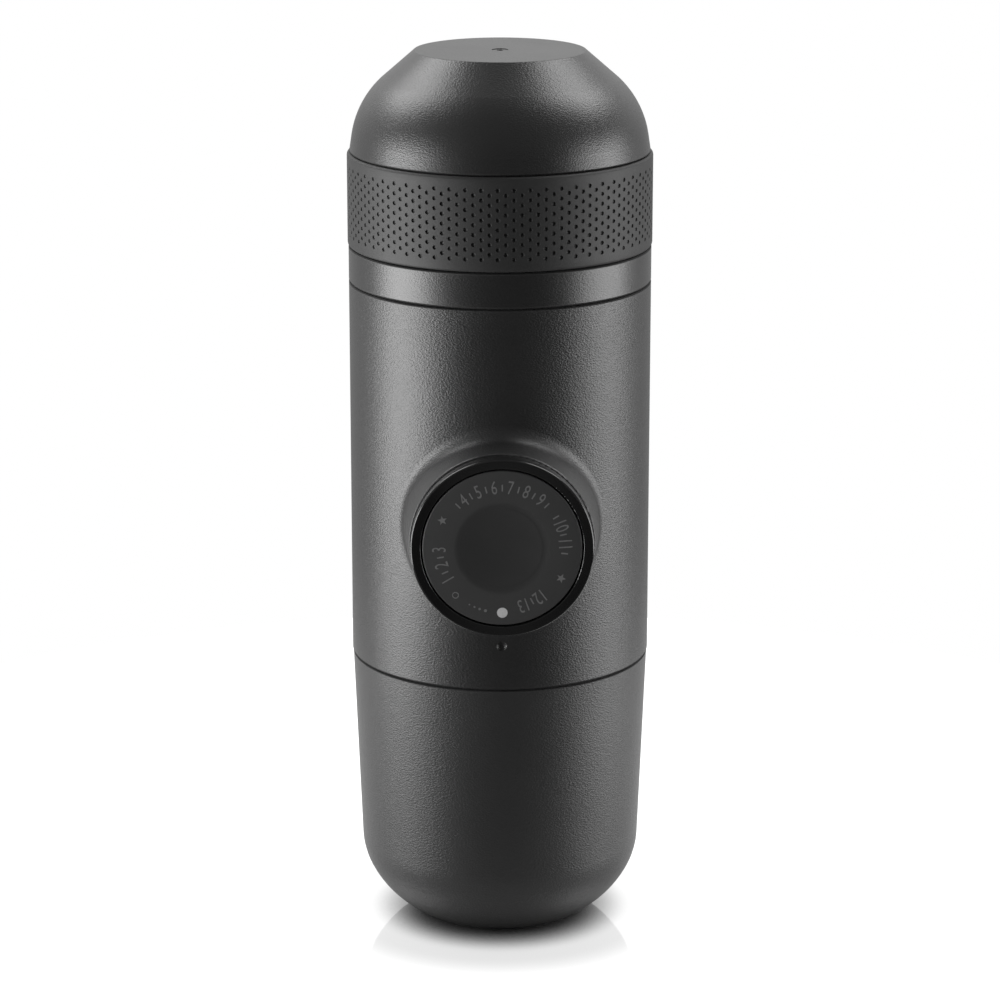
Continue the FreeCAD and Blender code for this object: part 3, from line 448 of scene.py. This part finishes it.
def onto_border(verts, x, z, half_wide, half_tall):
    """Move the twelve points of a circle to corners, middles and quarter heights of a cell."""
    for vert in verts:
        across, up = vert.co.x - x, vert.co.z - z
        steps = round(math.degrees(math.atan2(abs(up), abs(across))) / 30)
        wide, tall = [(1, 0), (1, 0.5), (1, 1), (0, 1)][steps]
        vert.co.x = x + math.copysign(half_wide * wide, across)
        vert.co.z = z + math.copysign(half_tall * tall, up)


def dimple_cell(mesh, x, z):
    """A flat cell with a round hollow in its middle."""
    loops = [disc_edge(mesh, x, z, 1.0)]
    onto_border(loops[0], x, z, COLUMN / 2, DIMPLE_PITCH / 2)
    loops += [disc_edge(mesh, x, z, radius * MM, deep * MM) for radius, deep in DIMPLE_STAGES]
    for outer, inner in zip(loops, loops[1:]):
        bmesh.ops.bridge_loops(mesh, edges=edges_of(outer) + edges_of(inner))
    bmesh.ops.contextual_create(mesh, geom=edges_of(loops[-1]))


# %% Make a column, and the plain strips above and below its dimples
def plain_strip(mesh, x, heights):
    """Flat faces of one column, split at its middle and at each height."""
    for left in (x - COLUMN / 2, x):
        for low, high in zip(heights, heights[1:]):
            corners = [(left, low), (left + COLUMN / 2, low), (left + COLUMN / 2, high), (left, high)]
            mesh.faces.new([mesh.verts.new((across, 0, up)) for across, up in corners])


def dimple_column(mesh, x, count):
    tall = DIMPLE_PITCH * count / 2
    for row in range(count):
        dimple_cell(mesh, x, DIMPLE_PITCH * (row + 0.5) - tall)
    reach = GRIP_HALF - GRIP_ROUND
    steps = [tall + DIMPLE_PITCH / 4 * n for n in range(3 if count < TALL_COLUMN else 1)] + [reach]
    plain_strip(mesh, x, steps)
    plain_strip(mesh, x, [-step for step in reversed(steps)])


# %% Roll the tile, give it edges and an inside, and spin it
def roll(mesh):
    """Wrap the flat tile round the axis: x becomes an angle, and y the depth."""
    for vert in mesh.verts:
        radius = GRIP_RADIUS - vert.co.y
        angle = vert.co.x / GRIP_RADIUS - math.pi / 2
        vert.co = Vector((radius * math.cos(angle), radius * math.sin(angle), vert.co.z))


def sweep_edge(mesh, edges, stations):
    """Carry a chain of edges through (radius, height) stations."""
    for radius, height in stations:
        made = bmesh.ops.extrude_edge_only(mesh, edges=edges)["geom"]
        edges = [item for item in made if isinstance(item, bmesh.types.BMEdge)]
        for vert in {vert for edge in edges for vert in edge.verts}:
            flat = vert.co.xy.normalized() * radius
            vert.co = Vector((flat.x, flat.y, height))


def grip_profile():
    """Round the top edge, down the inside, and back out round the bottom edge."""
    corner = GRIP_RADIUS - GRIP_ROUND
    turns = [math.radians(angle) for angle in (22.5, 45, 67.5, 90)]
    top = [(corner + GRIP_ROUND * math.cos(turn), GRIP_HALF - GRIP_ROUND + GRIP_ROUND * math.sin(turn))
           for turn in turns]
    top += [(GRIP_INNER, GRIP_HALF)]
    return top + [(radius, -height) for radius, height in reversed(top)] + [
        (GRIP_RADIUS, GRIP_ROUND - GRIP_HALF)]


def grip_ring():
    mesh = bmesh.new()
    dimple_column(mesh, -COLUMN / 2, TALL_COLUMN)
    dimple_column(mesh, COLUMN / 2, TALL_COLUMN - 1)
    bmesh.ops.remove_doubles(mesh, verts=mesh.verts[:], dist=0.000002)
    roll(mesh)
    reach = GRIP_HALF - GRIP_ROUND - 0.000001
    top = [edge for edge in mesh.edges if all(vert.co.z > reach for vert in edge.verts)]
    sweep_edge(mesh, top, grip_profile())
    step = 2 * math.pi / COLUMN_PAIRS
    bmesh.ops.spin(mesh, geom=mesh.verts[:] + mesh.edges[:] + mesh.faces[:], cent=(0, 0, 0),
                   axis=(0, 0, 1), angle=step * (COLUMN_PAIRS - 1), steps=COLUMN_PAIRS - 1,
                   use_duplicate=True)
    bmesh.ops.translate(mesh, verts=mesh.verts[:], vec=(0, 0, GRIP_MIDDLE))
    made = piece("grip_dimples", mesh, GRIP, "head")
    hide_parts("grip_ring")
    return made


GRIP_PIECE = grip_ring()

# %% [markdown]
# ## The knob's face and its printed marks
# The knob's face is a turned plate with a shallow dish for the thumb. Spinning one line of points
# round the knob's axis makes it, with a bowl that is smooth to its middle and a soft edge.
#
# It carries pale printed marks: a white dot that meets the hollow on the casing when
# the pump is locked, an open ring at the unlocked place, small dots that lead from one to the other,
# two stars and a ring of plain numbers with ticks. Each mark is a thin plate that is sunk a little
# into the face, so that no two surfaces lie in the same place.

# %% Turn the knob's face
DIAL_LOW, DIAL_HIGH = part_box("dial_plate")
DIAL_FACE = DIAL_LOW.y
DIAL_BACK = DIAL_HIGH.y
KNOB_AXIS = (DIAL_LOW.z + DIAL_HIGH.z) / 2
KNOB_RADIUS = DIAL_HIGH.x
DISH_BOWL = 42.0 * MM
DISH_FLOOR = 7.5 * MM
DISH_EDGE = 9.2 * MM
DISH_STEP = 0.24 * MM
DIAL_ROUND = 0.25 * MM
DISH_RINGS = 60
KNOB_STEPS = 128


def dish_depth(radius):
    """How deep the dish is at a radius: a shallow bowl inside a low, soft step."""
    if radius >= DISH_EDGE:
        return 0.0
    across = min(1, (DISH_EDGE - radius) / (DISH_EDGE - DISH_FLOOR))
    bowl = max(0, DISH_FLOOR ** 2 - radius ** 2) / DISH_BOWL / 2
    return DISH_STEP * across * across * (3 - 2 * across) + bowl


def chain(mesh, points):
    """A line of edges through points, for a spin."""
    verts = [mesh.verts.new(point) for point in points]
    return verts + [mesh.edges.new(pair) for pair in zip(verts, verts[1:])]


def dial_plastic(level, dished):
    """Satin plastic that is smoother and darker inside the dish."""
    finish = Finish("dial_satin")
    spot = finish.node("ShaderNodeTexCoord", output="Object")
    flat = finish.node("ShaderNodeVectorMath", {"operation": "MULTIPLY_ADD"}, {
        0: spot, 1: (1, 0, 1), 2: (0, 0, -KNOB_AXIS)})
    away = finish.node("ShaderNodeVectorMath", {"operation": "LENGTH"}, {0: flat}, 1)
    dish = finish.ramp(away, DISH_EDGE + 0.1 * MM, DISH_EDGE - 1.0 * MM)
    cloud = finish.noise(0.004, detail=4.0)
    tooth = finish.noise(0.0003, detail=2.0)
    rim = finish.blend(cloud, grey(level * 0.94), grey(level * 1.06))
    bowl = finish.blend(cloud, grey(dished * 0.94), grey(dished * 1.06))
    finish.set(
        Base_Color=finish.blend(dish, rim, bowl),
        Roughness=cloud * 0.06 - dish * 0.06 + 0.46,
        IOR=1.49,
    )
    finish.bump(tooth, 0.000008)
    return finish.material


DIAL = dial_plastic(0.046, 0.033)


def knob_face():
    """The dish, the rounded rim, the side and the back, in one line that is spun."""
    mesh = bmesh.new()
    radii = [DISH_EDGE * n / DISH_RINGS for n in range(DISH_RINGS + 1)]
    line = [(radius, DIAL_FACE + dish_depth(radius), KNOB_AXIS) for radius in radii]
    corner = KNOB_RADIUS - DIAL_ROUND
    for turn in (90, 67.5, 45, 22.5, 0):
        line.append((corner + DIAL_ROUND * math.cos(math.radians(turn)),
                     DIAL_FACE + DIAL_ROUND * (1 - math.sin(math.radians(turn))), KNOB_AXIS))
    line += [(KNOB_RADIUS, DIAL_BACK, KNOB_AXIS), (0, DIAL_BACK, KNOB_AXIS)]
    bmesh.ops.spin(mesh, geom=chain(mesh, line), cent=(0, 0, KNOB_AXIS), axis=(0, 1, 0),
                   angle=2 * math.pi, steps=KNOB_STEPS, use_merge=True)
    made = piece("knob_face", mesh, DIAL, "knob")
    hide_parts("dial_plate")
    return made


KNOB_FACE = knob_face()

# %% Where the marks go
PRINT_HEIGHT = 0.02 * MM
PRINT_SUNK = 0.06 * MM
NUMBER_RADIUS = 11.75 * MM
STAR_RADIUS = 12.5 * MM
DOT_RADIUS = 12.6 * MM
HOOP_RADIUS = 12.7 * MM
NUMBER_TALL = 2.6 * MM
NUMBER_WIDE = 0.66
FONT_CAPITAL = 0.7
print("dial face at mm:", round(DIAL_FACE / MM, 2), "axis height:", round(KNOB_AXIS / MM, 2))


def print_ink(name, level):
    finish = Finish(name)
    worn = finish.noise(0.0005, detail=3.0)
    finish.set(
        Base_Color=finish.blend(worn, grey(level * 0.8), grey(level * 1.1)),
        Roughness=worn * 0.1 + 0.45,
    )
    return finish.material


INK = print_ink("grey_print", 0.17)
WHITE_INK = print_ink("white_print", 0.62)


def on_dial(clock, radius):
    """The place on the dial at an angle clockwise from the top, and that angle in radians."""
    angle = math.radians(clock)
    return Vector((math.sin(angle) * radius, 0, math.cos(angle) * radius)), angle


# %% Raise flat shapes into thin plates on the dial
def finish_print(name, mesh, material):
    """Give the flat marks, drawn in XZ, their thickness, and set them on the dial's face."""
    made = bmesh.ops.extrude_face_region(mesh, geom=mesh.faces[:])["geom"]
    raised = [item for item in made if isinstance(item, bmesh.types.BMVert)]
    bmesh.ops.translate(mesh, verts=raised, vec=(0, -PRINT_HEIGHT - PRINT_SUNK, 0))
    bmesh.ops.translate(mesh, verts=mesh.verts[:], vec=(0, DIAL_FACE + PRINT_SUNK, KNOB_AXIS))
    return piece(name, mesh, material, "knob", weld=1e-7)


def disc(mesh, clock, radius, size, segments=20):
    spot, _ = on_dial(clock, radius)
    turn = Matrix.Rotation(math.pi / 2, 4, "X")
    bmesh.ops.create_circle(mesh, cap_ends=True, segments=segments, radius=size,
                            matrix=Matrix.Translation(spot) @ turn)


def star(mesh, clock, radius, size):
    """A five-pointed star, made from a circle of ten points."""
    spot, angle = on_dial(clock, radius)
    turn = Matrix.Rotation(math.pi / 2, 4, "X")
    made = bmesh.ops.create_circle(mesh, cap_ends=True, segments=10, radius=size, matrix=turn)["verts"]
    for index, vert in enumerate(made):
        if index % 2:
            vert.co *= 0.42
    upright = Matrix.Rotation(angle + math.radians(-18), 4, "Y")
    bmesh.ops.transform(mesh, matrix=Matrix.Translation(spot) @ upright, verts=made)


def hoop(mesh, clock, radius, size, width):
    """A flat ring, from two circles bridged together."""
    spot, _ = on_dial(clock, radius)
    turn = Matrix.Translation(spot) @ Matrix.Rotation(math.pi / 2, 4, "X")
    edges = []
    for reach in (size, size - width):
        edges += edges_of(bmesh.ops.create_circle(mesh, segments=24, radius=reach, matrix=turn)["verts"])
    bmesh.ops.bridge_loops(mesh, edges=edges)


def tick(mesh, clock, radius, tall, wide):
    spot, angle = on_dial(clock, radius)
    turn = Matrix.Translation(spot) @ Matrix.Rotation(angle, 4, "Y") @ Matrix.Rotation(
        math.pi / 2, 4, "X") @ Matrix.Diagonal((wide / 2, tall / 2, 1, 1))
    bmesh.ops.create_grid(mesh, x_segments=1, y_segments=1, size=1, matrix=turn)


def numeral(mesh, text, clock, radius, tall):
    """A number, upright when its place is at the top, taken from Blender's own font."""
    spot, angle = on_dial(clock, radius)
    curve = bpy.data.curves.new("numeral", "FONT")
    curve.body = text
    curve.size = tall / FONT_CAPITAL
    curve.align_x = "CENTER"
    curve.align_y = "CENTER"
    curve.resolution_u = 3
    holder = bpy.data.objects.new("numeral", curve)
    flat = bpy.data.meshes.new_from_object(holder)
    turn = Matrix.Rotation(angle, 4, "Y") @ Matrix.Rotation(math.pi / 2, 4, "X")
    flat.transform(Matrix.Translation(spot) @ turn @ Matrix.Diagonal((NUMBER_WIDE, 1, 1, 1)))
    mesh.from_mesh(flat)
    bpy.data.objects.remove(holder)
    bpy.data.curves.remove(curve)
    bpy.data.meshes.remove(flat)


# %% Print the dial
LOCKED = 180
UNLOCKED = 224.0
STARS = (296, 118)
TRAIL = ((14.6, 0.30), (19.8, 0.25), (24.6, 0.20), (29.5, 0.16))
NUMBERS = {1: 239, 2: 254, 3: 269, 4: -37.5, 5: -22.5, 6: -7.5, 7: 7.5, 8: 22.5, 9: 37.5,
           10: 68, 11: 86, 12: 143, 13: 160}
TICKS = (-45, -30, -15, 0, 15, 30, 45, 59, 77, 95, 246.5, 261.5, 151.5)


def grey_marks():
    mesh = bmesh.new()
    for clock in STARS:
        star(mesh, clock, STAR_RADIUS, 0.95 * MM)
    hoop(mesh, UNLOCKED, HOOP_RADIUS, 0.65 * MM, 0.18 * MM)
    for step, size in TRAIL:
        disc(mesh, LOCKED + step, DOT_RADIUS, size * MM, segments=12)
    for number, clock in NUMBERS.items():
        numeral(mesh, str(number), clock, NUMBER_RADIUS, NUMBER_TALL)
    for clock in TICKS:
        tick(mesh, clock, NUMBER_RADIUS, 1.3 * MM, 0.26 * MM)
    return finish_print("dial_marks", mesh, INK)


def white_dot():
    mesh = bmesh.new()
    disc(mesh, LOCKED, DOT_RADIUS, 1.0 * MM, segments=32)
    return finish_print("dial_dot", mesh, WHITE_INK)


DIAL_MARKS = grey_marks()
DIAL_DOT = white_dot()

# %% [markdown]
# ## Screw threads
# The tank and the outlet head screw on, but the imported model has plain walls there. A thread is one
# small outline that is spun round the axis while it climbs. Each thread stands in the gap between
# the two walls, and the inner and outer one are half a pitch apart, so that they pass each other.

# %% Wind the threads
THREAD_PITCH = 3.4 * MM
THREAD_STEPS = 64
THREAD_CLIMB = THREAD_PITCH / THREAD_STEPS
THREAD_RUN_OUT = 8
ROOT_HALF, CREST_HALF = 0.45, 0.16


def thread(name, body, material, root, crest, low, turns):
    """A ridge that climbs round the axis, from its root on a wall to its crest, in millimetres.

    The first and last few steps fade back to the root, as a real thread runs out.
    """
    mesh = bmesh.new()
    outline = [(root, -ROOT_HALF), (crest, -CREST_HALF), (crest, CREST_HALF), (root, ROOT_HALF)]
    verts = [mesh.verts.new((radius * MM, 0, low * MM + up * MM)) for radius, up in outline]
    edges = [mesh.edges.new((verts[n - 1], verts[n])) for n in range(4)]
    steps = round(THREAD_STEPS * turns)
    bmesh.ops.spin(mesh, geom=verts + edges, cent=(0, 0, 0), axis=(0, 0, 1),
                   dvec=(0, 0, THREAD_CLIMB), angle=2 * math.pi * turns, steps=steps)
    bmesh.ops.holes_fill(mesh, edges=[edge for edge in mesh.edges if len(edge.link_faces) == 1])
    for vert in mesh.verts:
        done = (vert.co.z - low * MM) / THREAD_CLIMB
        fade = min(1, max(0, min(done, steps - done) / THREAD_RUN_OUT))
        flat = vert.co.xy.normalized() * (root * MM + (vert.co.xy.length - root * MM) * fade)
        vert.co.x, vert.co.y = flat
    return piece(name, mesh, material, body)


PLUG_LOW, CHAMBER_LOW = 48.6, 138.2
HALF_PITCH = 1.7
THREADS = [
    thread("plug_thread", "main_body", INNER, 25.40, 26.08, PLUG_LOW, 1.6),
    thread("tank_thread", "tank", TANK, 26.46, 25.78, PLUG_LOW + HALF_PITCH, 1.1),
    thread("chamber_thread", "main_body", INNER, 25.60, 26.28, CHAMBER_LOW, 2.2),
    thread("head_thread", "head", INNER, 26.66, 25.98, CHAMBER_LOW + HALF_PITCH, 1.7),
]

# %% [markdown]
# ## Valve springs as pieces of their own
# Each valve ball lifts off its seat against a small spring. A spring that stayed as it is would cut
# through the lifted ball. Each spring is copied as a piece of its own, with a mesh of its own, that
# rides on the main body.


def springy(node_name):
    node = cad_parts[node_name]
    mesh = bmesh.new()
    mesh.from_mesh(node.data)
    bmesh.ops.transform(mesh, matrix=node.matrix_world, verts=mesh.verts[:])
    made = piece(node_name + "_coil", mesh, WIRE, "main_body")
    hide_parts(node_name)
    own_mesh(made)
    return made


VALVE_COILS = [springy("inlet_valve_spring"),
               springy("outlet_valve_spring")]

# %% [markdown]
# ## The studio
# The maker stands on a small round white table in front of a white backdrop, and the room in front
# of it is dark, as in a product studio. The floor's shader adds light of its own for the camera and
# for mirror images, less of it where the maker shuts the light out, so the floor looks white and the
# maker gets little light back from it. The floor is glossy and mirrors the maker faintly. Around the
# maker its own light is a little weaker, so that the mirror image doesn't clip to white.

# %% Floor and world
TABLE_RADIUS = 0.2
FLOOR_LEVEL = 0.08
FLOOR_NEAR = 0.70
NEAR_ENDS, FAR_BEGINS = 0.030, 0.042
SHADE_REACH = 0.008
MIRRORED_GLOW = 0.7
BACKDROP_LOW, BACKDROP_HIGH = 0.5, 0.95
ROOM_LOW, ROOM_HIGH = 0.015, 0.2


def studio_floor():
    mesh = bmesh.new()
    bmesh.ops.create_circle(mesh, cap_ends=True, segments=128, radius=TABLE_RADIUS)
    data = bpy.data.meshes.new("floor")
    mesh.to_mesh(data)
    mesh.free()
    floor = bpy.data.objects.new("floor", data)
    bpy.context.scene.collection.objects.link(floor)
    finish = Finish("studio_floor")
    spot = finish.node("ShaderNodeTexCoord", output="Object")
    away = finish.node("ShaderNodeVectorMath", {"operation": "LENGTH"}, {0: spot}, 1)
    far = finish.ramp(away, NEAR_ENDS, FAR_BEGINS)
    nearby = finish.node("ShaderNodeAmbientOcclusion", {"samples": 16}, {"Distance": SHADE_REACH}, 1)
    open_sky = finish.ramp(nearby, 0.1, 0.85)
    camera_ray = finish.node("ShaderNodeLightPath", output="Is Camera Ray")
    glossy_ray = finish.node("ShaderNodeLightPath", output="Is Glossy Ray")
    back = finish.ramp(finish.node("ShaderNodeSeparateXYZ", inputs={0: spot}, output=1), -0.1, 0.03)
    seen = camera_ray + glossy_ray * (back * MIRRORED_GLOW)
    glow = (far * (1 - FLOOR_NEAR) + FLOOR_NEAR) * open_sky * seen
    finish.set(
        Base_Color=grey(FLOOR_LEVEL),
        Roughness=0.06,
        IOR=2.4,
        Emission_Color=finish.blend(glow, grey(0.0), grey(1.0)),
        Emission_Strength=1.06,
    )
    data.materials.append(finish.material)
    return floor


def studio_world():
    world = bpy.data.worlds.new("studio")
    world.use_nodes = True
    bpy.context.scene.world = world
    graph = Graph(world.node_tree)
    towards = graph.node("ShaderNodeTexCoord", output="Generated")
    parts = [graph.node("ShaderNodeSeparateXYZ", inputs={0: towards}, output=n) for n in range(3)]
    behind = graph.ramp(parts[1], 0.0, 0.6)
    above = graph.ramp(parts[2], -0.05, 0.25)
    front = graph.blend(above, grey(ROOM_LOW), grey(ROOM_HIGH))
    back = graph.blend(above, grey(BACKDROP_LOW), grey(BACKDROP_HIGH))
    room = graph.blend(behind, front, back)
    camera_ray = graph.node("ShaderNodeLightPath", output="Is Camera Ray")
    light = graph.node("ShaderNodeBackground", inputs={
        "Color": graph.blend(camera_ray, room, grey(1.0)), "Strength": 1.0})
    end = graph.tree.nodes.new("ShaderNodeOutputWorld")
    graph.feed(end.inputs["Surface"], light)
    return world


print("stage:", studio_floor().name, studio_world().name)

# %% [markdown]
# ## The lamps
# Two tall soft boxes stand beside the maker and draw the long highlights down its sides. They reach
# below the table's top, because a wall that is seen from above mirrors what lies below it. Two
# smaller boxes hang above and behind, one at each side, and light the dome.

# %% Hang the soft boxes
def soft_box(name, azimuth, away, height, wide, tall, radiance):
    """An area lamp at an angle round the maker, aimed at its middle height."""
    data = bpy.data.lights.new(name, "AREA")
    data.shape = "RECTANGLE"
    data.size = wide
    data.size_y = tall
    data.energy = radiance * math.pi * wide * tall
    lamp = bpy.data.objects.new(name, data)
    angle = math.radians(azimuth)
    lamp.location = (math.sin(angle) * away, -math.cos(angle) * away, height)
    aim = Vector((0, 0, 0.09)) - lamp.location
    lamp.rotation_euler = aim.to_track_quat("-Z", "Y").to_euler()
    bpy.context.scene.collection.objects.link(lamp)
    return lamp


LAMPS = [
    soft_box("left_box", -77, 0.6, -0.05, 0.46, 0.60, 9.6),
    soft_box("right_box", 83, 0.6, 0.07, 0.46, 0.36, 6.5),
    soft_box("left_high_box", -116, 0.39, 0.546, 0.33, 0.33, 5.6),
    soft_box("right_high_box", 110, 0.35, 0.575, 0.30, 0.32, 5.6),
]
print("lamps:", [lamp.name for lamp in LAMPS])

# %% [markdown]
# ## Colour handling
# The Standard view shows a colour about as it is written.

# %% Set the colour handling
bpy.context.scene.view_settings.view_transform = "Standard"
